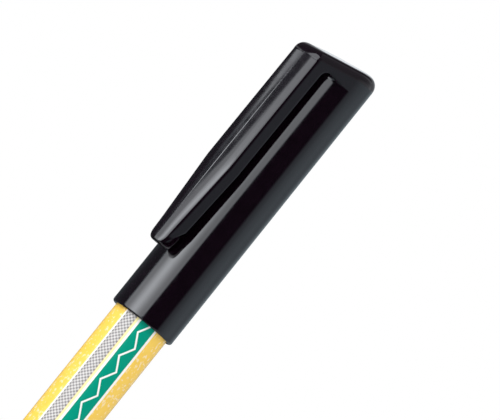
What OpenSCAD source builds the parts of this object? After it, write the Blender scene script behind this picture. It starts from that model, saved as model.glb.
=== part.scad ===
// Fabric marker with a moulded clip cap, standing on its rear plug.
// The marker's axis is Z and the pocket clip is on the -Y side. Sizes are in millimetres.

/* [Barrel] */
// Length of the barrel tube
barrel_len = 89; // [75:1:110]
// Outside diameter of the bare barrel
barrel_d = 10.9; // [10:0.1:14]
// Thickness of the barrel's wall
barrel_wall = 1; // [0.7:0.05:1.3]
// Number of inner ribs that hold the ink reservoir
rib_count = 6; // [4:1:8]
// Width of each inner rib
rib_w = 0.7; // [0.4:0.05:1]
// Height of each inner rib
rib_h = 0.55; // [0.3:0.05:0.9]
// Length of the ring that the cap grips
ring_len = 1.2; // [0.6:0.1:1.6]
// Bare barrel between the label and the grip ring
ring_inset = 3; // [1:0.25:4]
// Clearance between the grip ring and the cap
ring_gap = 0.05; // [0.02:0.01:0.1]

/* [Label] */
// Thickness of the printed film
label_t = 0.12; // [0.06:0.01:0.2]
// Bare barrel left behind the label
label_rear_gap = 0.5; // [0.2:0.1:5]
// Length of label that runs in under the cap
label_under_cap = 3; // [1:0.25:5]

/* [Rear plug] */
// Length of the plug that shows behind the barrel
plug_len = 3; // [2:0.25:6]
// Length of the plug inside the barrel
plug_spigot_len = 6; // [4:0.25:10]
// Wall of the hollow spigots
spigot_wall = 1.1; // [0.8:0.05:1.4]
// Rounding of the plug's rear edge
plug_round = 0.6; // [0.2:0.1:1]

/* [Front section] */
// Thickness of the flange that stops the cap
flange_t = 1; // [0.6:0.1:2]
// Length of the front section inside the barrel
front_spigot_len = 7; // [5:0.25:10]
// Length of the land that the liner seals on
land_len = 5.5; // [4:0.25:8]
// Length of the tapered nose
nose_len = 6.5; // [4:0.25:10]
// Wall of the nose at the nib
nose_wall = 0.8; // [0.5:0.05:1]
// Number of air channels beside the nib
vent_count = 3; // [2:1:4]
// Diameter of each air channel
vent_d = 0.7; // [0.4:0.05:0.9]

/* [Nib] */
// Diameter of the fibre nib
nib_d = 3; // [2.4:0.1:3.6]
// Length of nib in front of the nose
nib_show = 5.5; // [4:0.25:8]
// Length of nib inside the ink reservoir
nib_in_reservoir = 6; // [3:0.25:10]
// Length of the bullet tip
nib_tip_len = 3.85; // [2.5:0.05:3.9]
// Radius of the bullet tip's end
nib_end_r = 0.6; // [0.3:0.05:0.9]

/* [Ink reservoir] */
// Thickness of the film round the fibre
sleeve_t = 0.1; // [0.05:0.01:0.2]
// Air space in front of the reservoir
reservoir_gap = 0.5; // [0.3:0.1:2]

/* [Cap] */
// Length of the cap on its axis
cap_len = 59; // [54:0.5:70]
// Depth of the cap's mouth, down to the flange
cap_overlap = 13; // [11:0.25:18]
// Wall of the cap at its mouth
cap_wall = 0.78; // [0.7:0.02:1.2]
// Clearance between the label and the cap
cap_slip = 0.15; // [0.1:0.01:0.3]
// Width of the cap's inner step on the flange
cap_step = 0.2; // [0.15:0.01:0.4]
// Rounding of the cap's lip
lip_round = 0.5; // [0.2:0.05:0.5]
// Chamfer inside the cap's mouth
lead_in = 0.25; // [0.1:0.01:0.27]
// Thickness of the cap's closed top on the axis
cap_top_t = 4; // [3:0.1:8]
// Slope of the cap's top, down towards the clip, in degrees
top_slope = 14.7; // [5:0.1:18]
// Height of the cap's head on the axis, above the clip's slot
head_h = 4.8; // [4.4:0.05:8]
// Rounding of the top's edge
top_round = 1.65; // [0.6:0.05:1.9]

/* [Pocket clip] */
// Gap between the cap's tube and the clip
clip_gap = 1.7; // [0.8:0.05:2.2]
// Thickness of the clip at its edges
clip_t = 2.45; // [1.6:0.05:2.8]
// Height of the ridge above the edges
clip_ridge = 0.45; // [0.3:0.05:1.1]
// Width of the clip at its root
clip_root_w = 6.3; // [5.5:0.1:8]
// Width of the clip at its tip
clip_tip_w = 3.6; // [3:0.1:5]
// Height of the clip's tip above the mouth
clip_tip_z = 12.1; // [9:0.05:20]
// How much further out the clip is at its tip than at its root
clip_lean = 0.35; // [0.1:0.05:0.9]
// Height above the mouth where the clip starts to narrow
clip_taper_z = 30; // [24:0.5:45]
// Thickness of the clip's tip
tip_t = 1.15; // [0.6:0.05:1.4]
// Length of the clip's rounded end
tip_round = 1.5; // [0.8:0.1:1.8]
// Narrowing of the rounded end on each side
tip_narrow = 1.4; // [0.5:0.05:1.45]
// Drop of the outer face at the rounded end
tip_drop = 0.4; // [0.1:0.05:0.6]
// Length of the lead-in ramp under the tip
ramp_len = 3.6; // [2:0.1:8]
// Rounding where the clip leaves the head
slot_fillet = 1.2; // [0.3:0.1:1.4]

/* [Cap liner] */
// Wall of the liner
liner_wall = 0.8; // [0.5:0.05:1]
// Length of the collar that is pressed into the cap
collar_len = 3; // [2:0.25:5]
// Space between the liner and the cap above the collar
liner_room = 0.65; // [0.4:0.05:0.8]
// Clearance between the liner and the land
seal_gap = 0.1; // [0.05:0.01:0.2]
// Air space above the nib
air_space = 8; // [5:0.25:12]

/* [Hidden] */
$fn = 96;

// Clearance of pieces that are pressed or slipped together for good
press_gap = 0.02;
// Overreach of a cut past the face that it opens
cut = 0.1;
// Thickness of the slices that a hull is stretched over
slice = 0.02;
// How far the head stands proud of the tube and the clip, so that no faces coincide
head_lap = 0.03;
// How far the tube and the clip run up into the head
head_root = 0.5;

// Radii, from the barrel outwards and inwards
barrel_r = barrel_d / 2;
barrel_bore_r = barrel_r - barrel_wall;
spigot_r = barrel_bore_r - press_gap;
label_r = barrel_r + label_t;
cap_bore_r = label_r + cap_slip;
cap_r = cap_bore_r + cap_wall;
ring_r = cap_bore_r - ring_gap;
upper_bore_r = barrel_r - cap_step;
collar_r = upper_bore_r - press_gap;
liner_r = upper_bore_r - liner_room;
liner_bore_r = liner_r - liner_wall;
land_r = liner_bore_r - seal_gap;
nib_r = nib_d / 2;
nib_bore_r = nib_r + press_gap;
nose_r = nib_bore_r + nose_wall;
sleeve_r = barrel_bore_r - rib_h - press_gap;
reservoir_r = sleeve_r - sleeve_t - press_gap;

// Heights above the rear face
barrel_z = plug_len;
front_z = barrel_z + barrel_len;
flange_z = front_z + flange_t;
nose_z = flange_z + land_len;
nose_end_z = nose_z + nose_len;
nib_end_z = nose_end_z + nib_show;
reservoir_z = barrel_z + plug_spigot_len;
spigot_z = front_z - front_spigot_len;
reservoir_end_z = spigot_z - reservoir_gap;
cap_z = flange_z - cap_overlap;
label_z = barrel_z + label_rear_gap;
label_end_z = cap_z + label_under_cap;
ring_z = label_end_z + ring_inset;

// The cap's head and clip, above its mouth and out from its axis
slot_z = cap_len - head_h;
clip_in = cap_r + clip_gap;
clip_edge = clip_in + clip_t;
clip_out = clip_edge + clip_ridge;
root_w = clip_root_w / 2;
// Direction of the tangent from the clip's edge to the round tube, as the flank's outward normal
flank_a = atan2(root_w, clip_edge) + acos(cap_r / norm([root_w, clip_edge]));
flank_n = [sin(flank_a), cos(flank_a)];
gable_n = [clip_ridge, root_w] / norm([clip_ridge, root_w]);
// How much wider the clip gets, for each millimetre from its edges towards its inner face
clip_flare = flank_n[1] / flank_n[0];
head_r = cap_r + head_lap;

// Points of an arc
function arc(centre, r, from, to, steps = 8) =
    [for (i = [0:steps]) let (a = from + (to - from) * i / steps) centre + r * [cos(a), sin(a)]];

// The head's edge and ridge beside the clip, moved out from both faces by a distance
function head_edge(out) =
    [root_w, clip_edge] + out * (flank_n + gable_n) / (1 + flank_n * gable_n);
function head_ridge(out) = clip_out + out / gable_n[1];

// Height of the sloping top, at a distance towards the clip
function top_at(u) = cap_len - u * tan(top_slope);

// How far out the clip leans, at a height above the mouth
function lean_at(z) = clip_lean * (slot_z - z) / (slot_z - clip_tip_z);

module tube(r, bore_r, len) {
    difference() {
        cylinder(r = r, h = len);
        translate([0, 0, -cut]) cylinder(r = bore_r, h = len + 2 * cut);
    }
}

// Lays a profile of (towards the clip, up) points across the cap
module across(width) {
    rotate([90, 0, -90]) linear_extrude(width, center = true) children();
}

// The tube's round section drawn out to the clip's gabled outer face
module head_outline() {
    edge = head_edge(head_lap);
    circle(r = head_r);
    polygon([head_r * [flank_n[0], -flank_n[1]], [edge[0], -edge[1]], [0, -head_ridge(head_lap)],
             [-edge[0], -edge[1]], head_r * [-flank_n[0], -flank_n[1]]]);
}

// A slice of the clip at a height, with its gable narrowed from its full half width and dropped
module clip_slice(z, full_w, narrow = 0, drop = 0) {
    half_w = full_w - narrow;
    ridge = clip_out - drop;
    edge = ridge - clip_ridge * half_w / full_w;
    inner_w = half_w + clip_flare * (edge - clip_in);
    translate([0, -lean_at(z), z]) linear_extrude(slice)
        polygon([[inner_w, -clip_in], [half_w, -edge], [0, -ridge], [-half_w, -edge],
                 [-inner_w, -clip_in]]);
}

module cap_tube() {
    rotate_extrude() polygon(concat(
        [[0, 0]],
        arc([cap_r - lip_round, lip_round], lip_round, -90, 0),
        [[cap_r, slot_z + head_root], [0, slot_z + head_root]]));
}

// Spheres round the inset outline of the sloping top, stretched down to the slot
module cap_head() {
    steps = 24;
    rim_out = head_lap - top_round;
    rim_drop = top_round / cos(top_slope);
    edge = head_edge(rim_out);
    rim = concat(
        [for (i = [0:steps]) let (a = flank_a + (360 - 2 * flank_a) * i / steps)
            (cap_r + rim_out) * [sin(a), cos(a)]],
        [edge, [0, head_ridge(rim_out)], [-edge[0], edge[1]]]);
    hull() {
        translate([0, 0, slot_z]) linear_extrude(slice) head_outline($fn = 64);
        for (p = rim)
            translate([p[0], -p[1], top_at(p[1]) - rim_drop]) sphere(r = top_round, $fn = 24);
    }
}

// A gabled bar that narrows to a rounded tip, with a ramp cut under the tip
module pocket_clip() {
    steps = 5;
    tip_w = clip_tip_w / 2;
    ramp_z = clip_tip_z + ramp_len;
    ramp = [[clip_in + lean_at(ramp_z), ramp_z], [clip_edge + clip_lean - tip_t, clip_tip_z]];
    run = ramp[1] - ramp[0];
    difference() {
        hull() {
            clip_slice(slot_z + head_root, root_w);
            clip_slice(clip_taper_z, root_w);
            for (i = [0:steps])
                let (a = 90 * i / steps, close = 1 - cos(a))
                    clip_slice(clip_tip_z + tip_round * (1 - sin(a)), tip_w, tip_narrow * close,
                               tip_drop * close);
        }
        across(2 * clip_root_w)
            polygon([ramp[0] - run, ramp[1] + run, [ramp[0][0] - clip_t, ramp[1][1] + run[1]],
                     [ramp[0][0] - clip_t, ramp[0][1] - run[1]]]);
    }
}

// The rounded corner between the clip's inner face and the underside of the head
module clip_corner() {
    corner = [clip_in + lean_at(slot_z - slot_fillet), slot_z] + head_lap * [1, 1];
    across(2 * (root_w + clip_flare * clip_t - cut))
        polygon(concat([corner + [cut, cut], corner + [cut, -slot_fillet]],
                       arc(corner - slot_fillet * [1, 1], slot_fillet, 0, 90),
                       [corner + [-slot_fillet, cut]]));
}

module cap() {
    color("#18181b") translate([0, 0, cap_z]) difference() {
        union() {
            cap_tube();
            cap_head();
            pocket_clip();
            clip_corner();
        }
        translate([0, 0, -cut]) cylinder(r = cap_bore_r, h = cap_overlap + cut);
        translate([0, 0, -cut])
            cylinder(r1 = cap_bore_r + lead_in + cut, r2 = cap_bore_r, h = lead_in + cut);
        translate([0, 0, cap_overlap - cut])
            cylinder(r = upper_bore_r, h = cap_len - cap_top_t - cap_overlap + cut);
    }
}

// A cup inside the cap that seals over the front section
module cap_liner() {
    len = nib_end_z + air_space - flange_z;
    color("gainsboro") translate([0, 0, flange_z]) difference() {
        union() {
            cylinder(r = collar_r, h = collar_len);
            cylinder(r = liner_r, h = len + liner_wall);
        }
        translate([0, 0, -cut]) cylinder(r = liner_bore_r, h = len + cut);
    }
}

module barrel() {
    color("white") {
        translate([0, 0, barrel_z]) tube(barrel_r, barrel_bore_r, barrel_len);
        translate([0, 0, ring_z]) tube(ring_r, barrel_r - cut, ring_len);
        translate([0, 0, reservoir_z])
            for (i = [0:rib_count - 1])
                rotate(i * 360 / rib_count)
                    translate([sleeve_r + press_gap, -rib_w / 2, 0])
                        cube([rib_h + cut, rib_w, spigot_z - reservoir_z]);
    }
}

// Printed film wrapped round the barrel
module label() {
    color("#0f9a78") translate([0, 0, label_z])
        tube(label_r, barrel_r, label_end_z - label_z);
}

// Closed rear end, with a hollow spigot in the barrel
module rear_plug() {
    color("#18181b") rotate_extrude() polygon(concat(
        [[0, 0]],
        arc([barrel_r - plug_round, plug_round], plug_round, -90, 0),
        [[barrel_r, plug_len], [spigot_r, plug_len], [spigot_r, reservoir_z],
         [spigot_r - spigot_wall, reservoir_z], [spigot_r - spigot_wall, plug_len], [0, plug_len]]));
}

// Nib holder: a hollow spigot in the barrel, a flange, a sealing land and a tapered nose
module front_section() {
    color("#18181b") difference() {
        rotate_extrude() polygon([
            [0, spigot_z], [spigot_r, spigot_z], [spigot_r, front_z], [barrel_r, front_z],
            [barrel_r, flange_z], [land_r, flange_z], [land_r, nose_z], [nose_r, nose_end_z],
            [0, nose_end_z]]);
        translate([0, 0, spigot_z - cut])
            cylinder(r = spigot_r - spigot_wall, h = front_spigot_len + cut);
        translate([0, 0, spigot_z]) cylinder(r = nib_bore_r, h = nose_end_z - spigot_z + cut);
        for (i = [0:vent_count - 1])
            rotate(i * 360 / vent_count)
                translate([nib_bore_r, 0, spigot_z])
                    cylinder(d = vent_d, h = nose_z - spigot_z);
    }
}

// Pressed fibre rod with a bullet tip
module nib() {
    rear_z = reservoir_end_z - nib_in_reservoir;
    shoulder_z = nib_end_z - nib_tip_len;
    color("#0f9a78") rotate_extrude() polygon(concat(
        [[0, rear_z], [nib_r, rear_z], [nib_r, shoulder_z]],
        arc([0, nib_end_z - nib_end_r], nib_end_r, 30, 90)));
}

// Fibre rod that holds the ink, with a socket for the nib
module ink_reservoir() {
    len = reservoir_end_z - reservoir_z;
    color("mediumseagreen") translate([0, 0, reservoir_z]) difference() {
        cylinder(r = reservoir_r, h = len);
        translate([0, 0, len - nib_in_reservoir]) cylinder(r = nib_r, h = nib_in_reservoir + cut);
    }
}

// Clear film round the reservoir
module reservoir_sleeve() {
    color("whitesmoke") translate([0, 0, reservoir_z])
        tube(sleeve_r, sleeve_r - sleeve_t, reservoir_end_z - reservoir_z);
}

cap();
cap_liner();
barrel();
label();
rear_plug();
front_section();
nib();
ink_reservoir();
reservoir_sleeve();
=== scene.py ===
import math

import bmesh
import bpy
import numpy as np
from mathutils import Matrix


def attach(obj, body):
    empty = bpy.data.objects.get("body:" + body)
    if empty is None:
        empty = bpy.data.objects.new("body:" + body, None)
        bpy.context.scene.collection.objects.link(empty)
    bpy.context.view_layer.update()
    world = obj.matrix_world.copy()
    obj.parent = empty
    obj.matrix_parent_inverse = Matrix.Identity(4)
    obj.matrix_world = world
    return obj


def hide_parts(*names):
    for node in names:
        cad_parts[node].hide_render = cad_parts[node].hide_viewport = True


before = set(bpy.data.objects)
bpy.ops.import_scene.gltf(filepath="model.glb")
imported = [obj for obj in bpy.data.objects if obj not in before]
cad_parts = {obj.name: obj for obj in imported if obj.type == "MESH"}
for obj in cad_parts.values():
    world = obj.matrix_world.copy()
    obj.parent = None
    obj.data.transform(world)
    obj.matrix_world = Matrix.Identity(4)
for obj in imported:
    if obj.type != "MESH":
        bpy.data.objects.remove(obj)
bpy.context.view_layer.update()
print("frame loaded:", ", ".join(sorted(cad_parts)))

mm = 0.001  # all shapes below are worked out in millimetres
scene = bpy.context.scene
scene.view_settings.view_transform = "Standard"

# Where the camera stands: azimuth from the clip's side, then distance, height and aim in millimetres
view = {"azimuth": 42.0, "distance": 650.0, "height": 34.0, "aimAcross": 2.502, "aimHeight": 107.603,
        "roll": 38.7023, "lens": 266.99, "sensor": 36.0, "clipStart": 0.01, "clipEnd": 50.0}
viewAngle = math.radians(view["azimuth"])
towardsView = np.array([math.sin(viewAngle), -math.cos(viewAngle), 0.0])  # from the axis to the camera
acrossView = np.array([math.cos(viewAngle), math.sin(viewAngle), 0.0])  # to the right of the picture


def placeObject(name, data, right, up, back, place):
    # An object with the given axes of its own, at a place in metres
    axes = np.eye(4)
    axes[:3] = np.stack([right, up, back, place], 1)
    made = bpy.data.objects.new(name, data)
    made.matrix_world = axes.T.tolist()
    scene.collection.objects.link(made)
    return made


def placeCamera():
    # The camera looks from its place to the aim point, turned round its own line of sight by the roll
    place = towardsView * view["distance"] + np.array([0, 0, view["height"]])
    sight = acrossView * view["aimAcross"] + np.array([0, 0, view["aimHeight"]]) - place
    sight /= np.linalg.norm(sight)
    right = np.cross(sight, [0, 0, 1.0])
    right /= np.linalg.norm(right)
    up = np.cross(right, sight)
    roll = math.radians(view["roll"])
    rolledRight = right * math.cos(roll) + up * math.sin(roll)
    rolledUp = up * math.cos(roll) - right * math.sin(roll)
    lens = bpy.data.cameras.new("viewCamera")
    lens.lens = view["lens"]
    lens.sensor_width = view["sensor"]
    lens.sensor_fit = "HORIZONTAL"
    lens.clip_start = view["clipStart"]
    lens.clip_end = view["clipEnd"]
    scene.camera = placeObject("viewCamera", lens, rolledRight, rolledUp, -sight, place * mm)


placeCamera()
print("camera placed")

# Surfaces

weld = {"join": 4e-7, "bevelEnds": 1e-7, "empty": 1e-8}  # distances in metres


def gridFaces(rows, cols, wrap, start):
    # Quads between neighbouring rows and columns of a grid; with wrap the last column meets the first
    row = np.arange(rows - 1)[:, None] * cols
    col = np.arange(cols if wrap else cols - 1)[None, :]
    after = (col + 1) % cols
    quads = np.stack([row + col, row + after, row + cols + after, row + cols + col], -1)
    return quads.reshape(-1, 4) + start


def mergeDoubles(work, distance):
    bmesh.ops.remove_doubles(work, verts=work.verts, dist=distance)
    bmesh.ops.dissolve_degenerate(work, edges=work.edges, dist=weld["empty"])


def makePiece(name, patches, sharpAngle=32.0, pickBevel=None, bevelWidth=0.0):
    # Joins grids of points into one closed skin: doubles are merged, then the faces are turned outwards
    points, faces, count = [], [], 0
    for grid, wrap in patches:
        rows, cols = grid.shape[:2]
        points.append(grid.reshape(-1, 3) * mm)
        faces.append(gridFaces(rows, cols, wrap, count))
        count += rows * cols
    mesh = bpy.data.meshes.new(name)
    mesh.from_pydata(np.concatenate(points).tolist(), [], np.concatenate(faces).tolist())
    work = bmesh.new()
    work.from_mesh(mesh)
    mergeDoubles(work, weld["join"])
    bmesh.ops.recalc_face_normals(work, faces=work.faces)
    if pickBevel:
        picked = [edge for edge in work.edges if edge.is_manifold and pickBevel(edge)]
        bmesh.ops.bevel(work, geom=picked, offset=bevelWidth * mm, offset_type="OFFSET", segments=3,
                        profile=0.5, affect="EDGES", clamp_overlap=False)
        mergeDoubles(work, weld["bevelEnds"])  # the bevel's ends come to a point
    openEdges = sum(not edge.is_manifold for edge in work.edges)
    work.to_mesh(mesh)
    work.free()
    mesh.shade_smooth()
    mesh.set_sharp_from_angle(angle=math.radians(sharpAngle))
    piece = bpy.data.objects.new(name, mesh)
    scene.collection.objects.link(piece)
    print(f"{name}: {len(mesh.polygons)} faces, {openEdges} open edges")
    return piece


def roundPath(corners, radii, steps=6, support=0.12):
    # A path of straight runs whose corners are arcs: each arc's centre lies on the corner's bisector
    corners = np.asarray(corners, float)
    inner, radius = corners[1:-1], np.asarray(radii, float)[:, None]
    back = corners[:-2] - inner
    ahead = corners[2:] - inner
    back /= np.linalg.norm(back, axis=1, keepdims=True)
    ahead /= np.linalg.norm(ahead, axis=1, keepdims=True)
    half = np.arccos(np.clip((back * ahead).sum(1, keepdims=True), -1, 1)) / 2
    bisector = back + ahead
    bisector /= np.linalg.norm(bisector, axis=1, keepdims=True)
    centre = inner + bisector * radius / np.sin(half)
    reach = radius / np.tan(half)
    first = (inner + back * reach - centre)[:, None]
    last = (inner + ahead * reach - centre)[:, None]
    turn = (math.pi - 2 * half)[:, None]
    share = np.linspace(0, 1, steps + 1)[None, :, None]
    arc = (first * np.sin((1 - share) * turn) + last * np.sin(share * turn)) / np.sin(turn)
    arcs = (centre[:, None] + arc).reshape(-1, 2)
    points = np.concatenate([corners[:1], arcs, corners[-1:]])
    # a point near each end of a long run keeps the shading of the run flat
    step = np.diff(points, axis=0)
    length = np.linalg.norm(step, axis=1)
    long = np.flatnonzero(length > 10 * support)
    along = step[long] * (support / length[long])[:, None]
    extra = np.stack([points[long] + along, points[long + 1] - along], 1).reshape(-1, 2)
    return np.insert(points, np.repeat(long + 1, 2), extra, axis=0)


def cornersOf(values, *pairs):
    # Corners of a profile as (radius, height), each a number or the name of one of the piece's values
    return [[values.get(radius, radius), values.get(height, height)] for radius, height in pairs]


def carryRound(radius, height, angle):
    # Points carried round the axis: x and y are the radius times the angle's cosine and sine
    return np.stack([radius * np.cos(angle), radius * np.sin(angle), height + 0 * angle], -1)


def turnProfile(profile, cols=144):
    # A profile of (radius, height) carried round the axis in equal steps
    return carryRound(profile[:, :1], profile[:, 1:], np.arange(cols) * 2 * math.pi / cols)


def eased(share):
    # Smooth step: three times the square less twice the cube
    return share ** 2 * (3 - 2 * share)


# Shared shader groups and small node helpers

def setInput(tree, socket, value):
    if isinstance(value, bpy.types.NodeSocket):
        tree.links.new(value, socket)
    elif value is not None:
        socket.default_value = value


def newNode(tree, kind, *values, **settings):
    # A node whose first inputs take the values in turn: sockets are linked, and None leaves an input alone
    node = tree.nodes.new("ShaderNode" + kind)
    for name, setting in settings.items():
        setattr(node, name, setting)
    for socket, value in zip(node.inputs, values):
        setInput(tree, socket, value)
    return node.outputs


def mathNode(tree, operation, *values):
    return newNode(tree, "Math", *values, operation=operation)[0]


def keepWithin(tree, value, low, high):
    return mathNode(tree, "MINIMUM", mathNode(tree, "MAXIMUM", value, low), high)


def mixValue(tree, mask, under, over):
    rest = mathNode(tree, "MULTIPLY", under, mathNode(tree, "SUBTRACT", 1.0, mask))
    return mathNode(tree, "ADD", rest, mathNode(tree, "MULTIPLY", mask, over))


def mixColour(tree, mask, under, over):
    # the two colours are the seventh and eighth inputs of a Mix node
    return newNode(tree, "Mix", mask, *[None] * 5, under, over, data_type="RGBA")[2]


def spread(tree, value, low, high, toLow, toHigh, smooth=True):
    curve = "SMOOTHSTEP" if smooth else "LINEAR"
    return newNode(tree, "MapRange", value, low, high, toLow, toHigh, interpolation_type=curve)[0]


def noise(tree, vector, scale, detail=2.0, roughness=0.5):
    return newNode(tree, "TexNoise", vector, None, scale, detail, roughness)["Fac"]


def newGroup(name, inputs, outputs):
    # An empty group: inputs that have a number are values, and those that have none are vectors
    group = bpy.data.node_groups.new(name, "ShaderNodeTree")
    for socket, value in inputs.items():
        kind = "NodeSocketVector" if value is None else "NodeSocketFloat"
        made = group.interface.new_socket(socket, in_out="INPUT", socket_type=kind)
        if value is not None:
            made.default_value = value
    for socket in outputs:
        group.interface.new_socket(socket, in_out="OUTPUT", socket_type="NodeSocketFloat")
    return group, group.nodes.new("NodeGroupInput").outputs, group.nodes.new("NodeGroupOutput").inputs


def useGroup(tree, group, values):
    node = tree.nodes.new("ShaderNodeGroup")
    node.node_tree = group
    for name, value in values.items():
        setInput(tree, node.inputs[name], value)
    return node.outputs


def makeAroundGroup():
    # Angle round the axis from the picture's side of the marker, and tilt above the horizon, in degrees
    group, given, made = newGroup("aroundAxis", {"Vector": None}, ["Angle", "Tilt"])
    sides = [newNode(group, "VectorMath", given["Vector"], axis.tolist(), operation="DOT_PRODUCT")["Value"]
             for axis in (acrossView, towardsView)]
    angle = mathNode(group, "ARCTAN2", *sides)
    rise = keepWithin(group, newNode(group, "SeparateXYZ", given["Vector"])[2], -1.0, 1.0)
    group.links.new(mathNode(group, "DEGREES", angle), made["Angle"])
    group.links.new(mathNode(group, "DEGREES", mathNode(group, "ARCSINE", rise)), made["Tilt"])
    return group


def makeBandGroup():
    # One between Low and High; it rises and falls over the fade to each side of Low and of High
    inputs = {"Value": 0.0, "Low": 0.0, "Low Fade": 0.1, "High": 1.0, "High Fade": 0.1}
    group, given, made = newGroup("softBand", inputs, ["Mask"])
    slopes = []
    for side, before, after in (("Low", 0.0, 1.0), ("High", 1.0, 0.0)):
        start = mathNode(group, "SUBTRACT", given[side], given[side + " Fade"])
        end = mathNode(group, "ADD", given[side], given[side + " Fade"])
        slopes.append(spread(group, given["Value"], start, end, before, after))
    group.links.new(mathNode(group, "MULTIPLY", *slopes), made["Mask"])
    return group


def makeMouldGroup():
    # The faint waves of a moulded skin with its fine grain, and a finer mottle for its gloss
    inputs = {"Vector": None, "Waves": 150.0, "Grain": 4000.0, "Grain Share": 0.15}
    mottleRatio, mottleRange = 3.1, (0.3, 0.7)
    group, given, made = newGroup("mouldedSkin", inputs, ["Height", "Mottle"])
    waves = noise(group, given["Vector"], given["Waves"], detail=1.0)
    grain = noise(group, given["Vector"], given["Grain"])
    group.links.new(mathNode(group, "MULTIPLY_ADD", grain, given["Grain Share"], waves), made["Height"])
    mottleScale = mathNode(group, "MULTIPLY", given["Waves"], mottleRatio)
    mottle = noise(group, given["Vector"], mottleScale, detail=4.0, roughness=0.6)
    group.links.new(spread(group, mottle, *mottleRange, 0.0, 1.0), made["Mottle"])
    return group


def makeFibreGroup():
    # Long strands that run with the axis, and a mask of painted shade in the gaps between them, where the
    # strands are low
    inputs = {"Vector": None, "Strands": 9000.0, "Length": 0.06}
    gapShadeRange = (0.32, 0.5)
    group, given, made = newGroup("pressedFibre", inputs, ["Height", "Gap Shade"])
    scaled = newNode(group, "CombineXYZ", 1.0, 1.0, given["Length"])[0]
    drawn = newNode(group, "VectorMath", given["Vector"], scaled, operation="MULTIPLY")[0]
    strands = noise(group, drawn, given["Strands"], detail=3.0, roughness=0.6)
    group.links.new(strands, made["Height"])
    group.links.new(spread(group, strands, *gapShadeRange, 1.0, 0.0), made["Gap Shade"])
    return group


def bandMask(tree, value, low, high, lowFade, highFade):
    return useGroup(tree, softBand, {"Value": value, "Low": low, "Low Fade": lowFade,
                                     "High": high, "High Fade": highFade})["Mask"]


aroundAxis = makeAroundGroup()
softBand = makeBandGroup()
mouldedSkin = makeMouldGroup()
pressedFibre = makeFibreGroup()
print("shader groups made")


def newFinish(name, sockets):
    # A material with one Principled shader, whose plain values sit on its own sockets
    finish = bpy.data.materials.new(name)
    finish.use_nodes = True
    tree = finish.node_tree
    shader = tree.nodes["Principled BSDF"]
    for socket, value in sockets.items():
        shader.inputs[socket].default_value = value
    return finish, tree, shader.inputs, newNode(tree, "TexCoord")["Object"]


def addBump(tree, shader, height, depth):
    bump = tree.nodes.new("ShaderNodeBump")
    bump.inputs["Strength"].default_value = 1.0
    bump.inputs["Distance"].default_value = depth * mm
    tree.links.new(height, bump.inputs["Height"])
    tree.links.new(bump.outputs["Normal"], shader["Normal"])


def mouldedFinish(name, colour, rough, waves, depth, grainShare=0.1, colourShift=0.12):
    # Moulded plastic: the colour and the gloss wander a little, and the skin has slight waves
    finish, tree, shader, place = newFinish(name, {"IOR": 1.5})
    skin = useGroup(tree, mouldedSkin, {"Vector": place, "Waves": waves, "Grain Share": grainShare})
    darker = tuple(part * (1 - colourShift) for part in colour) + (1,)
    lighter = tuple(part * (1 + colourShift) for part in colour) + (1,)
    tree.links.new(mixColour(tree, skin["Mottle"], darker, lighter), shader["Base Color"])
    tree.links.new(spread(tree, skin["Mottle"], 0.0, 1.0, *rough, smooth=False), shader["Roughness"])
    addBump(tree, shader, skin["Height"], depth)
    return finish


def dress(piece, finish, body, node):
    piece.data.materials.clear()
    piece.data.materials.append(finish)
    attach(piece, body)
    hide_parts(node)


# Cap: a round tube whose head is drawn out to one side and carries a gabled clip, all one moulding.
# Heights are from the cap's mouth, and the tube's rounds go from the ceiling to the lip.

cap = {
    "mouth": 80.0, "length": 59.0, "radius": 6.5, "bore": 5.72, "boreDepth": 13.0, "upperBore": 5.25,
    "topThick": 4.0, "tubeRounds": (0.3, 0.05, 0.05, 0.1, 0.02, 0.5), "leadIn": 0.25, "slot": 54.2,
    "topSlope": 14.7, "topRound": 1.65, "backRound": 0.65, "backSpan": 0.6, "wallShare": (0.4, 0.94),
    "lidShare": (0.7, 0.35, 0.0), "lidMiddle": (0.0, 1.5), "ledgeFillet": 0.5, "ledgeShare": 0.7,
    "clip": {"inner": 8.2, "edge": 10.65, "ridge": 11.1, "rootHalf": 3.15, "tipHalf": 1.92, "tip": 12.1,
             "taper": 30.0, "thin": 0.15, "lean": 0.48, "leanBow": 0.1, "steepen": 0.04, "tipThick": 0.5,
             "tipRound": 2.2, "tipNarrow": 1.4, "endRound": 0.55, "endShare": (0.5, 0.0), "innerRound": 1.4,
             "ramp": 4.3, "rampEnd": 0.8, "fillet": 1.4, "edgeRound": 0.75, "edgeShare": 0.3,
             "ridgeRound": 2.2, "leastRound": 0.02, "bulge": 0.65, "recess": 0.06,
             "facetTop": (54.27, 54.33)},
    "bead": {"inner": 6.9, "half": 2.0, "halfShare": 0.85, "slope": 1.5, "toe": 0.8, "crown": 0.35},
    "slotBevel": {"width": 0.16, "aboveTip": 0.5, "overSlot": 0.01, "offTube": 0.3, "angle": 38.0},
    "skin": {"colour": (0.0034, 0.001, 0.003), "rough": (0.06, 0.1), "waves": 160.0, "depth": 0.004}}
clip, bead, slotBevel = cap["clip"], cap["bead"], cap["slotBevel"]
# Steps along each stretch of a section, where the front has the ledge's and half of the inner side's,
# and steps from row to row down the clip, round the top and round the ledge's corner
ringCounts = {"ridge": 3, "gable": 14, "corner": 7, "root": 8, "ledge": 10, "inner": 32, "back": 60,
              "front": 26}
rowCounts = {"fillet": 8, "run": 10, "taper": 8, "ramp": 10, "end": 8, "top": 10, "ledge": 6}


def outwardAt(angle):
    # Directions as (across, towards the clip), for angles from the clip's side
    return np.stack([np.sin(angle), np.cos(angle)], -1)


# the flank runs from the clip's edge to where it touches the tube
flankAngle = (math.atan2(clip["rootHalf"], clip["edge"])
              + math.acos(cap["radius"] / math.hypot(clip["rootHalf"], clip["edge"])))
flankOut = outwardAt(flankAngle)


def innerShares(steps):
    return (np.arange(1, steps) / steps)[None, :, None]


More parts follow.
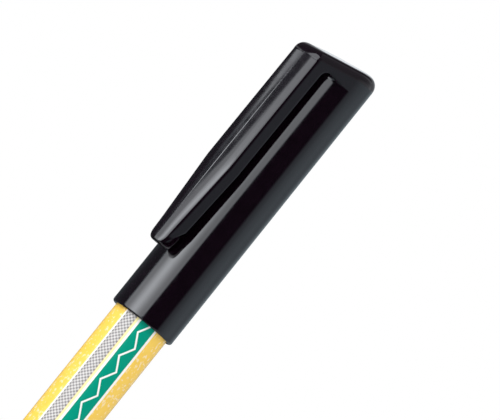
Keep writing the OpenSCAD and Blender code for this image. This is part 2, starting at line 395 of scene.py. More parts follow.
def runBetween(start, end, steps):
    # Points between two columns of points, without the ends
    share = innerShares(steps)
    return start[:, None] * (1 - share) + end[:, None] * share


def arcPoints(centre, radius, fromAngle, toAngle, steps):
    # Points round a centre, from one outward direction to another, both ends included
    angle = fromAngle[:, None] + (toAngle - fromAngle)[:, None] * np.linspace(0, 1, steps + 1)
    return centre[:, None] + radius[:, None, None] * outwardAt(angle)


def gabledHalf(half, edge, ridge, inset, recess, end, widen=0.0):
    # Right half of a gabled section, one row for each height: ridge arc, facet, edge arc, then the flank
    # down to end, where widen moves it out. Each arc's centre is where the two faces beside it meet after
    # both move in by the inset and the arc's radius.
    facetAngle = np.arctan2(ridge - edge, half)
    facetOut = outwardAt(facetAngle)
    corner = np.stack([half, edge], -1)
    facetReach = (corner * facetOut).sum(-1) - inset - recess
    flankReach = corner @ flankOut - inset
    edgeRound = np.minimum(clip["edgeRound"], clip["edgeShare"] * (edge - end))
    edgeRadius = np.maximum(edgeRound - inset, clip["leastRound"])
    ridgeRadius = np.maximum(clip["ridgeRound"] - inset, clip["leastRound"])
    cross = facetOut[:, 0] * flankOut[1] - facetOut[:, 1] * flankOut[0]
    facetIn, flankIn = facetReach - edgeRadius, flankReach - edgeRadius
    edgeCentre = np.stack([facetIn * flankOut[1] - facetOut[:, 1] * flankIn,
                           facetOut[:, 0] * flankIn - flankOut[0] * facetIn], -1) / cross[:, None]
    ridgeCentre = np.stack([0 * half, (facetReach - ridgeRadius) / facetOut[:, 1]], -1)
    # the facet swells by its share along less the cube of that, so it rolls off towards its edge
    swell = clip["bulge"] * (ridge - edge)
    ridgeTurn = facetAngle - np.arctan2(swell, half)
    edgeTurn = facetAngle + np.arctan2(2 * swell, half)
    flankTurn = np.full_like(half, flankAngle)
    ridgeArc = arcPoints(ridgeCentre, ridgeRadius, 0 * half, ridgeTurn, ringCounts["ridge"])
    edgeArc = arcPoints(edgeCentre, edgeRadius, edgeTurn, flankTurn, ringCounts["corner"])
    facet = runBetween(ridgeArc[:, -1], edgeArc[:, 0], ringCounts["gable"])
    share = innerShares(ringCounts["gable"])
    facet = facet + (share - share ** 3) * swell[:, None, None] * facetOut[:, None]
    flankEnd = np.stack([(flankReach - flankOut[1] * end) / flankOut[0] + widen, end], -1)
    flank = runBetween(edgeArc[:, -1], flankEnd, ringCounts["root"])
    return np.concatenate([ridgeArc, facet, edgeArc, flank, flankEnd[:, None]], 1)


def mirrored(half):
    # The same points on the other side, in the way back
    return half[:, ::-1] * np.array([-1, 1])


def capPoints(section, height):
    # From (across, towards the clip) and height above the mouth to the marker's own frame
    height = np.broadcast_to(height, section.shape[:-1])
    return np.stack([section[..., 0], -section[..., 1], cap["mouth"] + height], -1)


def ledgeFillet(angle):
    # Radius of the corner between the tube and the head's underside: a share of the underside's width
    # where that is narrow
    away = np.minimum(np.abs(angle), flankAngle)
    toFlank = cap["radius"] / np.cos(flankAngle - away) - cap["radius"]
    toClip = (clip["inner"] - clip["fillet"]) / np.cos(away) - cap["radius"]
    return np.minimum(cap["ledgeFillet"], cap["ledgeShare"] * np.minimum(toFlank, toClip))


def capTubeGrid():
    # The tube's profile, from the ceiling down the bore, round the lip and up the outside, carried round
    # the axis
    ceiling, bore = cap["length"] - cap["topThick"], cap["bore"]
    corners = cornersOf(cap, (0, ceiling), ("upperBore", ceiling), ("upperBore", "boreDepth"),
                        (bore, "boreDepth"), (bore, "leadIn"), (bore + cap["leadIn"], 0), ("radius", 0),
                        ("radius", "slot"))
    profile = roundPath(corners, cap["tubeRounds"], steps=8)
    half = np.concatenate([np.linspace(0, flankAngle, ringCounts["front"] + 1),
                           np.linspace(flankAngle, math.pi, ringCounts["back"] + 1)[1:]])
    angle = np.concatenate([half, -half[-2:0:-1]])
    section = profile[:, :1, None] * outwardAt(angle)[None]
    height = profile[:, 1:] + 0 * angle
    height[-2:] -= ledgeFillet(angle)
    return capPoints(section, height)


def headHalf(inset, recess):
    # Gabled half of the head's section, one row for each inset, down to the line of the clip's fillet
    row = np.ones_like(inset)
    end = (clip["inner"] - clip["fillet"]) * row
    return gabledHalf(clip["rootHalf"] * row, clip["edge"] * row, clip["ridge"] * row, inset, recess, end)


def headRing(inset, recess):
    # Closed outline of the head, one row for each inset: gabled half, flank to its tangent point, back of
    # the tube, and the same mirrored
    row = np.ones_like(inset)
    gabled = headHalf(inset, recess)
    back = arcPoints(np.zeros((len(row), 2)), cap["radius"] - inset, flankAngle * row, math.pi * row,
                     ringCounts["back"])
    ledge = runBetween(gabled[:, -1], back[:, 0], ringCounts["ledge"])
    half = np.concatenate([gabled, ledge, back], 1)
    return np.concatenate([half, mirrored(half)[:, 1:-1]], 1)


def capHeadGrid():
    # Walls that rise to a sloping top, a quarter round between them, and the flat top drawn in to its middle
    slope = math.tan(math.radians(cap["topSlope"]))
    low = np.array([cap["slot"], *clip["facetTop"]])
    wallShare = np.array(cap["wallShare"])[:, None]
    onWall = np.zeros(len(low) + len(wallShare))
    turn = np.linspace(0, math.pi / 2, rowCounts["top"] + 1)
    inset = np.concatenate([onWall, cap["topRound"] * (1 - np.cos(turn))])
    recess = np.zeros_like(inset)
    recess[:2] = clip["recess"]  # the lowest rows lie back with the clip's facets
    ring = headRing(inset, recess)
    # the quarter round grows from the flanks to the back
    fromClip = np.abs(np.arctan2(ring[0, :, 0], ring[0, :, 1]))
    behind = np.clip((fromClip - flankAngle) / (cap["backSpan"] * (math.pi - flankAngle)), 0, 1)
    grow = 1 + cap["backRound"] * eased(behind)
    ring = ring * ((cap["radius"] - inset[:, None] * grow) / (cap["radius"] - inset[:, None]))[..., None]
    top = cap["length"] - slope * ring[..., 1]
    height = top - cap["topRound"] * grow * (1 - np.concatenate([onWall, np.sin(turn)]))[:, None]
    height[:len(low)] = low[:, None]
    wall = slice(len(low), len(onWall))
    height[wall] = low[-1] + (height[wall] - low[-1]) * wallShare
    middle = np.array(cap["lidMiddle"])
    lid = middle + (ring[-1:] - middle) * np.array(cap["lidShare"])[:, None, None]
    height = np.concatenate([height, cap["length"] - slope * lid[..., 1]])
    return capPoints(np.concatenate([ring, lid]), height)


def roundedEnd(height, radius):
    # How far a round draws a face in near the tip: the root of the radius squared less the depth squared,
    # less the radius
    below = np.clip(clip["tip"] + radius - height, 0, radius)
    return np.sqrt(radius ** 2 - below ** 2) - radius


def clipRows():
    # Heights from the head down to the tip, with the half width, faces, inner side and inner widening at
    # each: a fillet under the head, a run that leans out, a taper, a ramp under the tip and a rounded end
    slot, tip, fillet = cap["slot"], clip["tip"], clip["fillet"]
    rampTop, endTop = tip + clip["ramp"], tip + clip["tipRound"]
    turn = np.linspace(math.pi / 2, 0, rowCounts["fillet"] + 1)
    endTurn = np.linspace(0, math.pi / 2, rowCounts["end"] + 1)[1:]
    height = np.concatenate([
        slot - fillet * (1 - np.sin(turn)),
        np.linspace(slot - fillet, clip["taper"], rowCounts["run"] + 1)[1:],
        np.linspace(clip["taper"], rampTop, rowCounts["taper"] + 1)[1:],
        np.linspace(rampTop, endTop, rowCounts["ramp"] + 1)[1:],
        tip + clip["tipRound"] * (1 - np.sin(endTurn))])
    down = (slot - height) / (slot - tip)
    lean = clip["lean"] * down - clip["leanBow"] * down ** 2
    taper = np.clip((clip["taper"] - height) / (clip["taper"] - endTop), 0, 1)
    close = np.zeros_like(height)
    close[-len(endTurn):] = 1 - np.cos(endTurn)
    fullHalf = clip["rootHalf"] + (clip["tipHalf"] - clip["rootHalf"]) * taper
    half = fullHalf - clip["tipNarrow"] * close
    ramp = np.clip((rampTop - height) / (clip["ramp"] - clip["rampEnd"]), 0, 1)
    gable = clip["ridge"] - clip["edge"] + clip["steepen"] * taper
    thick = clip["edge"] - clip["inner"] - clip["thin"] * np.clip(2 * down, 0, 1)
    inner = clip["ridge"] + lean - gable - thick + ramp * (thick - clip["tipThick"])
    inner[:len(turn)] -= fillet * (1 - np.cos(turn))
    ridge = clip["ridge"] + lean + roundedEnd(height, clip["endRound"])
    widen = fullHalf - half + roundedEnd(height, clip["innerRound"])
    return height, half, ridge - gable * half / fullHalf, ridge, inner, widen


def beadDepth(height, inner, innerHalf, across):
    # How far the grip bead stands in from the clip's inner side: it slopes in below the ramp's start, its
    # toe is a quarter ellipse, and over its width it is one less the square of the share across, to a power
    down = np.clip((clip["tip"] + clip["ramp"] - height) / bead["slope"], 0, 1)
    toe = np.clip((height - clip["tip"]) / bead["toe"], 0, 1)
    depth = (inner - bead["inner"]) * eased(down) * np.sqrt(1 - (1 - toe) ** 2)
    reach = np.minimum(bead["half"], bead["halfShare"] * innerHalf)[:, None]
    return depth[:, None] * np.clip(1 - (across / reach) ** 2, 0, 1) ** bead["crown"]


def clipGrid():
    # Closed gabled sections stacked from the head to the tip, with the bead on their inner side, then drawn
    # in to close the end
    height, half, edge, ridge, inner, widen = clipRows()
    row = np.ones_like(height)
    gabled = gabledHalf(half, edge, ridge, 0 * row, clip["recess"] * row, inner, widen)
    opposite = mirrored(gabled)
    across = runBetween(gabled[:, -1], opposite[:, 0], ringCounts["inner"])
    across[..., 1] -= beadDepth(height, inner, gabled[:, -1, 0], across[..., 0])
    ring = np.concatenate([gabled, across, opposite[:, :-1]], 1)
    middle = ring[-1].mean(0)
    end = middle + (ring[-1:] - middle) * np.array(clip["endShare"])[:, None, None]
    height = np.concatenate([height, np.full(len(end), height[-1])])
    return capPoints(np.concatenate([ring, end]), height[:, None])


def ledgeGrid():
    # Underside of the head, from the slot's edge with the clip's fillet line in to the tube's front
    root = headHalf(np.zeros(1), np.full(1, clip["recess"]))[:, -1:]
    tangent = cap["radius"] * flankOut[None, None]
    flank = np.concatenate([tangent, runBetween(tangent[:, 0], root[:, 0], ringCounts["ledge"]), root], 1)
    across = runBetween(root[:, 0], mirrored(root)[:, 0], ringCounts["inner"])
    edge = np.concatenate([flank, across, mirrored(flank)], 1)
    # then a quarter round down to the tube: out from the tube by one less the cosine, up to the slot's
    # height by the sine
    angle = np.linspace(flankAngle, -flankAngle, 2 * ringCounts["front"] + 1)
    turn = np.linspace(math.pi / 2, 0, rowCounts["ledge"] + 1)[:, None]
    fillet = ledgeFillet(angle)
    radius = cap["radius"] + fillet * (1 - np.cos(turn))
    corner = radius[..., None] * outwardAt(angle)
    rise = cap["slot"] - fillet * (1 - np.sin(turn))
    height = np.concatenate([np.full((1, len(angle)), cap["slot"]), rise])
    return capPoints(np.concatenate([edge, corner]), height)


def slotEdge(edge):
    # Sharp outer edges of the slot and the clip, away from where the flank runs into the tube
    middle = (edge.verts[0].co + edge.verts[1].co) / (2 * mm)
    low, high = clip["tip"] + slotBevel["aboveTip"], cap["slot"] + slotBevel["overSlot"]
    inSlot = low < middle.z - cap["mouth"] < high
    outside = math.hypot(middle.x, middle.y) > cap["radius"] + slotBevel["offTube"]
    return inSlot and outside and edge.calc_face_angle_signed(0) > math.radians(slotBevel["angle"])


capPatches = [(capTubeGrid(), True), (capHeadGrid(), True), (clipGrid(), True), (ledgeGrid(), False)]
capPiece = makePiece("clipCap", capPatches, pickBevel=slotEdge, bevelWidth=slotBevel["width"])
dress(capPiece, mouldedFinish("capGloss", **cap["skin"]), "cap_body", "cap")

# Cap liner: a cup with a collar at its mouth

liner = {"foot": 93.0, "collarTop": 96.0, "collar": 5.23, "radius": 4.6, "bore": 3.8, "roof": 118.5,
         "top": 119.3, "rounds": (0.3, 0.1, 0.15, 0.1, 0.25, 0.3),
         "skin": {"colour": (0.8, 0.8, 0.77), "rough": (0.32, 0.45), "waves": 300.0, "depth": 0.004}}
linerCorners = cornersOf(liner, (0, "top"), ("radius", "top"), ("radius", "collarTop"), ("collar", "collarTop"),
                         ("collar", "foot"), ("bore", "foot"), ("bore", "roof"), (0, "roof"))
linerPiece = makePiece("capLiner", [(turnProfile(roundPath(linerCorners, liner["rounds"])), True)])
dress(linerPiece, mouldedFinish("linerMilky", **liner["skin"]), "cap_body", "cap_liner")

# Barrel: a tube with a grip ring near its front and ribs along its bore

barrel = {"foot": 3.0, "front": 92.0, "radius": 5.45, "bore": 4.45, "endBore": 4.75, "ringLow": 86.0,
          "ringHigh": 87.2, "ringRadius": 5.67, "rounds": (0.15, 0.02, 0.15, 0.15, 0.02, 0.15), "ribs": 6,
          "ribWidth": 0.7, "ribHeight": 0.55, "ribRun": (9.0, 85.0), "ribEnd": 0.001, "ribTurn": 1e-4,
          "ribCols": 5, "gapCols": 22,
          "skin": {"colour": (0.8, 0.8, 0.77), "rough": (0.22, 0.34), "waves": 220.0, "depth": 0.004,
                   "colourShift": 0.03}}


def barrelGrid():
    # Outer profile carried round the axis; the bore's radius drops by the rib height where the angle lies
    # on a rib
    outer = roundPath(cornersOf(barrel, ("endBore", "foot"), ("radius", "foot"), ("radius", "ringLow"),
                                ("ringRadius", "ringLow"), ("ringRadius", "ringHigh"), ("radius", "ringHigh"),
                                ("radius", "front"), ("endBore", "front")), barrel["rounds"])
    step = 2 * math.pi / barrel["ribs"]
    side = barrel["ribWidth"] / 2 / barrel["bore"]
    beside = side + barrel["ribTurn"]
    rib = np.linspace(-side, side, barrel["ribCols"])
    between = np.linspace(side, step - side, barrel["gapCols"])[1:-1]
    turns = np.concatenate([[-beside], rib, [beside], between])
    angle = (np.arange(barrel["ribs"])[:, None] * step + turns).ravel()
    onRib = np.tile(np.abs(turns) <= side, barrel["ribs"])
    low, high = barrel["ribRun"]
    boreHeight = np.array([barrel["front"], high + barrel["ribEnd"], high, low, low - barrel["ribEnd"],
                           barrel["foot"]])[:, None]
    boreRadius = barrel["bore"] - barrel["ribHeight"] * np.array([0, 0, 1, 1, 0, 0])[:, None] * onRib
    allRound = np.ones_like(angle)
    radius = np.concatenate([outer[:, :1] * allRound, boreRadius, outer[:1, :1] * allRound])
    height = np.concatenate([outer[:, 1:], boreHeight, outer[:1, 1:]])
    return carryRound(radius, height, angle)


barrelPiece = makePiece("barrelTube", [(barrelGrid(), True)])
dress(barrelPiece, mouldedFinish("barrelWhite", **barrel["skin"]), "marker_body", "barrel")

# Label: printed film wrapped once round the barrel, with a lap where its ends meet at the back

# The bands run down the film, later ones over earlier: two angles in degrees from the picture's side, and
# the ink. A white stitch runs down the green band.
label = {
    "foot": 3.5, "top": 83.0, "inner": 5.45, "outer": 5.57, "rounds": (0.05, 0.05, 0.001), "step": 1.5,
    "lapAngle": 168.0, "lapWidth": 9.0, "lapRise": 0.06, "lapFade": 1.5,
    "ink": {"gold": (0.85, 0.55, 0.085, 1), "paleGold": (0.88, 0.62, 0.13, 1), "green": (0.0, 0.275, 0.185, 1),
            "white": (0.86, 0.86, 0.83, 1), "pale": (0.8, 0.74, 0.36, 1), "weaveDark": (0.17, 0.16, 0.16, 1),
            "weaveLight": (0.5, 0.48, 0.47, 1)},
    "bands": [(-35.0, -12.0, "weave"), (-38.0, -35.0, "white"), (-11.5, -7.5, "pale"), (-7.5, -3.0, "white"),
              (29.4, 34.0, "white"), (-3.0, 29.4, "green")], "bandFade": 0.25,
    "stitch": {"middle": 13.2, "swing": 7.5, "pitch": 5.2, "halfWidth": 1.9, "fade": 0.3},
    "print": {"fleckScale": 1700.0, "fleckRange": (0.56, 0.68), "fleckMost": 0.36, "toneScale": 420.0,
              "toneRange": (0.35, 0.65), "toneMost": 0.25, "warp": 0.8, "weft": 8.0,
              "threadRange": (-0.5, 0.5), "roughRange": (0.3, 0.7), "rough": (0.14, 0.22),
              "bumpScale": 900.0, "bumpDepth": 0.003}}
labelInk, stitch, printing = label["ink"], label["stitch"], label["print"]


def labelGrid():
    # Radius by angle round the axis: the film's outer radius, raised by half its thickness over the lap
    angle = np.radians(np.arange(0, 360, label["step"]))
    sides = [np.cos(angle) * axis[0] + np.sin(angle) * axis[1] for axis in (acrossView, towardsView)]
    fromView = np.degrees(np.arctan2(*sides)) % 360
    halfLap = label["lapWidth"] / 2
    away = np.abs(fromView - label["lapAngle"] - halfLap)
    raised = label["lapRise"] * np.clip((halfLap - away) / label["lapFade"] + 0.5, 0, 1)
    edge = roundPath(cornersOf(label, ("inner", "foot"), ("outer", "foot"), ("outer", "top"), ("inner", "top"),
                               ("inner", "foot")), label["rounds"], steps=4)
    lift = np.clip((edge[:, :1] - label["inner"]) / (label["outer"] - label["inner"]), 0, 1)
    return carryRound(edge[:, :1] + lift * raised, edge[:, 1:], angle)


def makeLabelFilm():
    finish, tree, shader, place = newFinish("labelFilm", {
        "IOR": 1.5, "Specular IOR Level": 0.3, "Coat Weight": 0.08, "Coat Roughness": 0.08})
    angle = useGroup(tree, aroundAxis, {"Vector": place})["Angle"]
    height = mathNode(tree, "MULTIPLY", newNode(tree, "SeparateXYZ", place)[2], 1 / mm)
    # gold ground, with a slow change of tone and pale flecks
    fleck = noise(tree, place, printing["fleckScale"], detail=1.0)
    speckle = spread(tree, fleck, *printing["fleckRange"], 0.0, printing["fleckMost"])
    tone = noise(tree, place, printing["toneScale"], detail=3.0)
    paler = spread(tree, tone, *printing["toneRange"], 0.0, printing["toneMost"])
    gold = mixColour(tree, paler, labelInk["gold"], labelInk["paleGold"])
    colour = mixColour(tree, speckle, gold, labelInk["white"])
    # plain weave: threads over and under, as a chequer of two sines
    warp = mathNode(tree, "SINE", mathNode(tree, "MULTIPLY", angle, printing["warp"]))
    weft = mathNode(tree, "SINE", mathNode(tree, "MULTIPLY", height, printing["weft"]))
    threads = spread(tree, mathNode(tree, "MULTIPLY", warp, weft), *printing["threadRange"], 0.0, 1.0)
    inks = dict(labelInk, weave=mixColour(tree, threads, labelInk["weaveDark"], labelInk["weaveLight"]))
    for low, high, ink in label["bands"]:
        band = bandMask(tree, angle, low, high, label["bandFade"], label["bandFade"])
        colour = mixColour(tree, band, colour, inks[ink])
    # white zigzag: the stitch's middle line swings to and fro as the height rises
    swing = mathNode(tree, "PINGPONG", height, stitch["pitch"] / 2)
    line = mathNode(tree, "MULTIPLY_ADD", swing, 4 * stitch["swing"] / stitch["pitch"],
                    stitch["middle"] - stitch["swing"])
    off = mathNode(tree, "ABSOLUTE", mathNode(tree, "SUBTRACT", angle, line))
    thread = spread(tree, off, stitch["halfWidth"] - stitch["fade"], stitch["halfWidth"] + stitch["fade"],
                    1.0, 0.0)
    colour = mixColour(tree, thread, colour, labelInk["white"])
    rough = spread(tree, tone, *printing["roughRange"], *printing["rough"], smooth=False)
    tree.links.new(colour, shader["Base Color"])
    tree.links.new(rough, shader["Roughness"])
    addBump(tree, shader, noise(tree, place, printing["bumpScale"]), printing["bumpDepth"])
    return finish


labelPiece = makePiece("labelWrap", [(labelGrid(), True)])
dress(labelPiece, makeLabelFilm(), "marker_body", "label")

# Rear plug: a closed end with a hollow spigot inside the barrel

plug = {"radius": 5.45, "show": 3.0, "spigot": 4.43, "spigotBore": 3.33, "top": 9.0,
        "rounds": (0.6, 0.12, 0.02, 0.2, 0.1, 0.2),
        "skin": {"colour": (0.006, 0.005, 0.0055), "rough": (0.12, 0.2), "waves": 200.0, "depth": 0.005}}
plugCorners = cornersOf(plug, (0, 0), ("radius", 0), ("radius", "show"), ("spigot", "show"), ("spigot", "top"),
                        ("spigotBore", "top"), ("spigotBore", "show"), (0, "show"))
plugPiece = makePiece("rearPlug", [(turnProfile(roundPath(plugCorners, plug["rounds"])), True)])
dress(plugPiece, mouldedFinish("plugBlack", **plug["skin"]), "marker_body", "rear_plug")

# Front section: spigot, flange, sealing land and a tapered nose round the nib

front = {"spigotFoot": 85.0, "spigot": 4.43, "spigotBore": 3.33, "barrelFront": 92.0, "flangeTop": 93.0,
         "flange": 5.45, "land": 3.7, "noseFoot": 98.5, "noseTop": 105.0, "nose": 2.32, "nibBore": 1.52,
         "rounds": (0.1, 0.1, 0.1, 0.02, 0.1, 0.18, 0.2, 0.5, 0.3, 0.1),
         "skin": {"colour": (0.012, 0.012, 0.013), "rough": (0.26, 0.4), "waves": 260.0, "depth": 0.006,
                  "grainShare": 0.3}}
frontCorners = cornersOf(
    front, ("nibBore", "barrelFront"), ("spigotBore", "barrelFront"), ("spigotBore", "spigotFoot"),
    ("spigot", "spigotFoot"), ("spigot", "barrelFront"), ("flange", "barrelFront"), ("flange", "flangeTop"),
    ("land", "flangeTop"), ("land", "noseFoot"), ("nose", "noseTop"), ("nibBore", "noseTop"),
    ("nibBore", "barrelFront"))
frontPiece = makePiece("nibHolder", [(turnProfile(roundPath(frontCorners, front["rounds"])), True)])
dress(frontPiece, mouldedFinish("frontSatin", **front["skin"]), "marker_body", "front_section")

# Nib: a pressed fibre rod whose bullet tip curves in to a rounded end

nib = {"foot": 78.5, "radius": 1.5, "shoulder": 106.65, "top": 110.5, "endRound": 0.6, "endAngle": 30.0,
       "bow": 0.12, "taperRows": 9, "endRows": 7, "cols": 64, "sharpAngle": 50.0,
       "fibre": {"dark": (0.0, 0.06, 0.035, 1), "light": (0.0, 0.2, 0.12, 1), "strands": 9000.0}}


def nibProfile():
    # Straight rod, then a shoulder that tapers in with a slight bow, a sine, to the rounded end
    turn = np.radians(np.linspace(nib["endAngle"], 90, nib["endRows"]))
    end = nib["endRound"] * np.stack([np.cos(turn), np.sin(turn) - 1], -1) + np.array([0, nib["top"]])
    end[-1, 0] = 0
    share = np.linspace(0, 1, nib["taperRows"])
    shoulder = np.array([nib["radius"], nib["shoulder"]])
    taper = shoulder + (end[0] - shoulder) * share[:, None]
    taper[:, 0] += nib["bow"] * np.sin(share * math.pi)
    rod = np.array([[0, nib["foot"]], [nib["radius"], nib["foot"]]])
    return np.concatenate([rod, taper, end[1:]])


def makeFibre(name, dark, light, strands, depth=0.05):
    finish, tree, shader, place = newFinish(name, {"IOR": 1.4, "Sheen Weight": 0.15, "Roughness": 0.85})
    fibre = useGroup(tree, pressedFibre, {"Vector": place, "Strands": strands})
    # the strands' colour turns to the dark one in the gaps between them: painted shade in the recesses
    tree.links.new(mixColour(tree, fibre["Gap Shade"], light, dark), shader["Base Color"])
    addBump(tree, shader, fibre["Height"], depth)
    return finish


nibPiece = makePiece("bulletNib", [(turnProfile(nibProfile(), nib["cols"]), True)], nib["sharpAngle"])
dress(nibPiece, makeFibre("nibFibre", **nib["fibre"]), "marker_body", "nib")

# The reservoir and its film keep their CAD shapes, inside the barrel

reservoir = {"dark": (0.01, 0.16, 0.09, 1), "light": (0.05, 0.36, 0.22, 1), "strands": 5000.0}
sleeve = {"colour": (0.8, 0.84, 0.82, 1), "clear": 0.6, "wearScale": 700.0, "wearRange": (0.3, 0.7),
          "rough": (0.08, 0.2)}


def makeSleeveFilm():
    finish, tree, shader, place = newFinish("sleeveFilm", {
        "IOR": 1.45, "Base Color": sleeve["colour"], "Transmission Weight": sleeve["clear"]})
    wear = noise(tree, place, sleeve["wearScale"])
    rough = spread(tree, wear, *sleeve["wearRange"], *sleeve["rough"], smooth=False)
    tree.links.new(rough, shader["Roughness"])
    return finish


insides = {"ink_reservoir": makeFibre("reservoirFibre", **reservoir), "reservoir_sleeve": makeSleeveFilm()}
for node, finish in insides.items():
    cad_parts[node].data.materials.clear()
    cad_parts[node].data.materials.append(finish)
print("pieces dressed")

# Studio: a pale floor, soft lamps for the colours, and a white surround with panels and dark cards for the
# gloss; sizes are in metres, tilts in degrees

studio = {"floorSize": 3.0, "floorTones": (0.8514, 0.86), "floorGrain": 60.0, "floorFade": (0.12, 0.45),
          "fill": 0.55, "backdrop": 1.0, "surround": 0.93, "lampAim": 0.07, "shiftTilt": 7.0, "shiftMost": 5.0,
          "cool": (0.8, 0.96, 1.05, 1), "warm": (0.95, 0.99, 1.04, 1), "warmLevel": (0.9, 3.0),
          "warmTilt": (9.5, 11.5)}
lamps = {"keyLamp": {"azimuth": -55.0, "rise": 40.0, "distance": 0.9, "size": 0.8, "power": 9.0},
         "sideLamp": {"azimuth": 80.0, "rise": 35.0, "distance": 1.0, "size": 0.8, "power": 4.0}}
# What the gloss meets, later ones over earlier: level of brightness, angle from the camera (left is minus)
# with the fades of its two sides, tilt above the horizon with its fade, and how many degrees each side
# shifts for a degree of tilt over shiftTilt
panels = {
    "rearWall": {"level": 0.48, "angle": (112.0, 200.0), "sides": (17.0, 1.0), "tilt": (-95.0, 10.5),
                 "fade": 1.0},
    "farEdge": {"level": 0.22, "angle": (168.0, 200.0), "sides": (12.0, 1.0), "tilt": (-95.0, 10.5),
                "fade": 1.0},
    "headShade": {"level": 0.66, "angle": (50.0, 118.0), "sides": (2.0, 12.0), "tilt": (9.0, 60.0),
                  "fade": 0.8},
    "frontShade": {"level": 0.58, "angle": (-7.0, 70.0), "sides": (2.0, 12.0), "tilt": (-95.0, 95.0),
                   "fade": 1.0},
    "frontCard": {"level": 0.03, "angle": (-7.0, 55.3), "sides": (2.0, 5.0), "tilt": (-95.0, 95.0),
                  "fade": 1.0},
    "leftCard": {"level": 0.12, "angle": (-200.0, -84.0), "sides": (1.0, 3.0), "tilt": (-95.0, 11.0),
                 "fade": 1.0},
    "gapCard": {"level": 0.32, "angle": (-94.0, -60.0), "sides": (1.0, 2.0), "tilt": (5.6, 20.0),
                "fade": 0.8},
    "ceiling": {"level": 0.1, "angle": (-200.0, 30.0), "sides": (1.0, 15.0), "tilt": (16.0, 95.0),
                "fade": 3.0},
    "rightCeiling": {"level": 0.28, "angle": (30.0, 132.0), "sides": (15.0, 14.0), "tilt": (26.0, 95.0),
                     "fade": 18.0},
    "backShade": {"level": 0.35, "angle": (128.0, 174.0), "sides": (10.0, 4.0), "tilt": (10.5, 34.0),
                  "fade": 2.0},
    "backCeiling": {"level": 0.08, "angle": (138.0, 200.0), "sides": (14.0, 1.0), "tilt": (34.0, 95.0),
                    "fade": 4.0},
    "keyPanel": {"level": 3.4, "angle": (-82.7, -5.0), "sides": (5.5, 2.5), "tilt": (-38.0, 5.6), "fade": 0.8,
                 "shift": (0.0, 1.3)},
    "keyUpper": {"level": 3.0, "angle": (-78.0, -5.0), "sides": (1.4, 2.5), "tilt": (5.6, 46.0), "fade": 0.8,
                 "shift": (3.9, 1.3)},
    "keySide": {"level": 3.6, "angle": (-65.0, -30.0), "sides": (3.0, 8.0), "tilt": (7.0, 46.0), "fade": 1.0},
    "keyRoof": {"level": 3.1, "angle": (-79.0, -40.0), "sides": (3.0, 8.0), "tilt": (12.5, 47.0),
                "fade": 2.0},
    "keyRim": {"level": 4.4, "angle": (-64.0, -40.0), "sides": (4.0, 5.0), "tilt": (5.3, 8.6), "fade": 0.5},
    "keyCore": {"level": 9.0, "angle": (-56.5, -33.0), "sides": (17.0, 19.0), "tilt": (-38.0, 7.0),
                "fade": 1.5},
    "ridgePanel": {"level": 9.0, "angle": (-88.0, -81.5), "sides": (1.0, 1.0), "tilt": (6.6, 9.1),
                   "fade": 0.5},
    "leftGlow": {"level": 0.9, "angle": (-96.5, -91.0), "sides": (2.5, 0.4), "tilt": (7.7, 8.7), "fade": 0.8},
    "sidePanel": {"level": 3.2, "angle": (-74.6, -94.6), "sides": (1.0, 0.3), "tilt": (8.4, 10.8),
                  "fade": 0.5,
                  "shift": (-11.9, 2.0)},
    "roofPanel": {"level": 0.5, "angle": (-200.0, -152.0), "sides": (1.0, 6.0), "tilt": (20.0, 44.0),
                  "fade": 3.0},
    "backRight": {"level": 1.0, "angle": (172.0, 200.0), "sides": (3.0, 1.0), "tilt": (11.5, 14.5),
                  "fade": 0.8},
    "backLeft": {"level": 1.0, "angle": (-200.0, -172.0), "sides": (1.0, 3.0), "tilt": (11.5, 14.5),
                 "fade": 0.8},
}


def seenRays(tree):
    # Light Path's outputs, and a mask of the rays that see the backdrop: from the camera or through clear film
    rays = newNode(tree, "LightPath")
    return rays, mathNode(tree, "MAXIMUM", rays["Is Camera Ray"], rays["Is Transmission Ray"])


def makeFloor():
    size = studio["floorSize"]
    mesh = bpy.data.meshes.new("paleFloor")
    corners = [(-size, -size, 0), (size, -size, 0), (size, size, 0), (-size, size, 0)]
    mesh.from_pydata(corners, [], [(0, 1, 2, 3)])
    floor = bpy.data.objects.new("paleFloor", mesh)
    scene.collection.objects.link(floor)
    finish, tree, shader, place = newFinish("floorPaper", {"Specular IOR Level": 0.1, "Roughness": 0.9})
    grain = noise(tree, place, studio["floorGrain"], detail=3.0)
    darker, lighter = [(tone, tone, tone, 1) for tone in studio["floorTones"]]
    tree.links.new(mixColour(tree, grain, darker, lighter), shader["Base Color"])
    # away from the marker and its shadow, the floor fades to the white of the backdrop
    away = newNode(tree, "VectorMath", place, operation="LENGTH")["Value"]
    fade = spread(tree, away, *studio["floorFade"], 0.0, 1.0)
    seen = seenRays(tree)[1]
    white = newNode(tree, "Emission", None, studio["backdrop"])[0]
    paper = tree.nodes["Principled BSDF"].outputs[0]
    blend = newNode(tree, "MixShader", mathNode(tree, "MULTIPLY", seen, fade), paper, white)[0]
    tree.links.new(blend, tree.nodes["Material Output"].inputs["Surface"])
    mesh.materials.append(finish)
    floor.visible_glossy = False


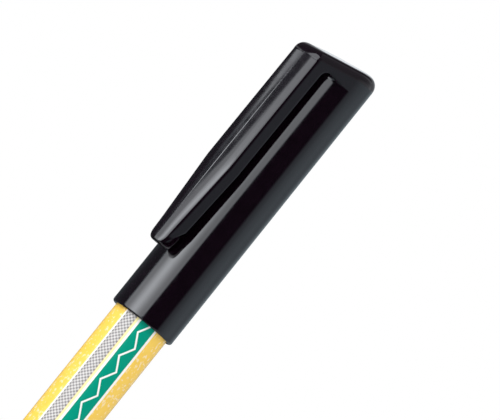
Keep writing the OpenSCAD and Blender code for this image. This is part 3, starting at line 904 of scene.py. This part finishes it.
def addLamp(name, azimuth, rise, distance, size, power):
    # A square lamp at an angle from the camera, aimed at the middle of the marker
    turn, tilt = math.radians(azimuth), math.radians(rise)
    level = towardsView * math.cos(turn) + acrossView * math.sin(turn)
    outward = level * math.cos(tilt) + np.array([0, 0, math.sin(tilt)])
    side = np.cross([0, 0, 1.0], outward)
    side /= np.linalg.norm(side)
    light = bpy.data.lights.new(name, "AREA")
    light.size = size
    light.energy = power
    place = outward * distance + np.array([0, 0, studio["lampAim"]])
    lamp = placeObject(name, light, side, np.cross(outward, side), outward, place)
    lamp.visible_glossy = False


def makeWorld():
    # Camera and clear rays see the white backdrop; gloss meets the surround with its cards and panels; the
    # rest is even fill light
    world = bpy.data.worlds.new("studioWorld")
    scene.world = world
    world.use_nodes = True
    tree = world.node_tree
    tree.nodes.clear()
    around = useGroup(tree, aroundAxis, {"Vector": newNode(tree, "TexCoord")["Generated"]})
    higher = keepWithin(tree, mathNode(tree, "SUBTRACT", around["Tilt"], studio["shiftTilt"]),
                        -studio["shiftMost"], studio["shiftMost"])
    level = studio["surround"]
    for panel in panels.values():
        sides = panel["angle"]
        if "shift" in panel:
            sides = [mathNode(tree, "MULTIPLY_ADD", higher, shift, side)
                     for shift, side in zip(panel["shift"], sides)]
        wide = bandMask(tree, around["Angle"], *sides, *panel["sides"])
        tall = bandMask(tree, around["Tilt"], *panel["tilt"], panel["fade"], panel["fade"])
        level = mixValue(tree, mathNode(tree, "MULTIPLY", wide, tall), level, panel["level"])
    rays, seen = seenRays(tree)
    glossy = rays["Is Glossy Ray"]
    strength = mixValue(tree, glossy, mixValue(tree, seen, studio["fill"], studio["backdrop"]), level)
    # dim panels near the horizon are cool, and bright or high ones are warmer
    bright = spread(tree, level, *studio["warmLevel"], 0.0, 1.0)
    high = spread(tree, around["Tilt"], *studio["warmTilt"], 0.0, 1.0)
    tint = mixColour(tree, mathNode(tree, "MAXIMUM", bright, high), studio["cool"], studio["warm"])
    colour = mixColour(tree, glossy, (1, 1, 1, 1), tint)
    newNode(tree, "OutputWorld", newNode(tree, "Background", colour, strength)[0])


makeFloor()
for lampName, lampValues in lamps.items():
    addLamp(lampName, **lampValues)
makeWorld()
print("studio lit")
